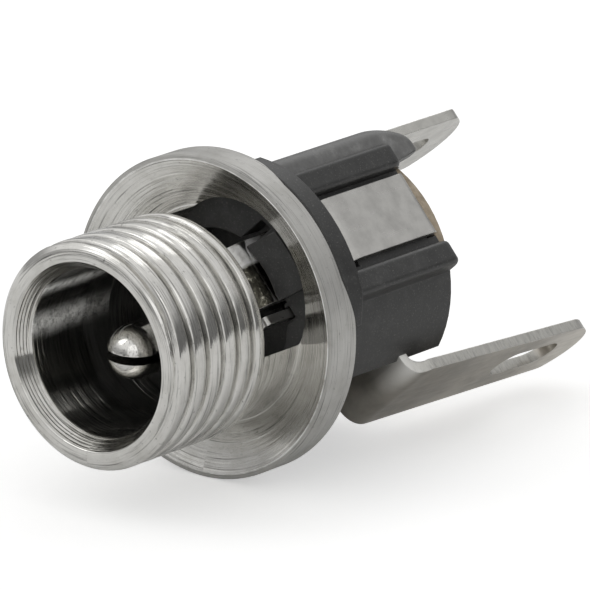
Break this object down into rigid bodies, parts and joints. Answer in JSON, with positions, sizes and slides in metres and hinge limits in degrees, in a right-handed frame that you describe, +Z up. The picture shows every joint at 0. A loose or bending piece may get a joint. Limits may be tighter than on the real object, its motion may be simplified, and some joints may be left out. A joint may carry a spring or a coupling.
{
  "type": "panel mount dc barrel jack",
  "caption": "Round panel jack for a barrel plug: threaded metal bushing with a dished flange, side contact window, split centre pin, moulded body and flat solder lugs.",
  "frame": {"origin": "on the jack axis in the plane of the flange's front rim, the face that bears on the panel", "axes": "+Y along the jack axis from the mouth toward the solder lugs, +Z up as the jack lies on a bench on its flange rim and sleeve terminal, with the contact window facing 49 degrees from +Z toward +X"},
  "size_m": [0.0114, 0.0223, 0.0114],
  "materials": {
    "nickel_plate": "nickel plated turned brass, fine lathe rings",
    "black_moulding": "moulded, satin to matte",
    "tinned_contact": "plated spring strip, satin",
    "nickel_pin": "polished plated brass",
    "tan_laminate": "plain paper laminate, matte",
    "tinned_lug": "plated sheet, satin with faint handling marks"
  },
  "bodies": {
    "root": {"shell": "nickel_plate", "insulator": "black_moulding", "contact_spring": "tinned_contact", "centre_pin": "nickel_pin", "rear_wafer": "tan_laminate", "pin_terminal": "tinned_lug", "sleeve_terminal": "tinned_lug"}
  },
  "joints": []
}
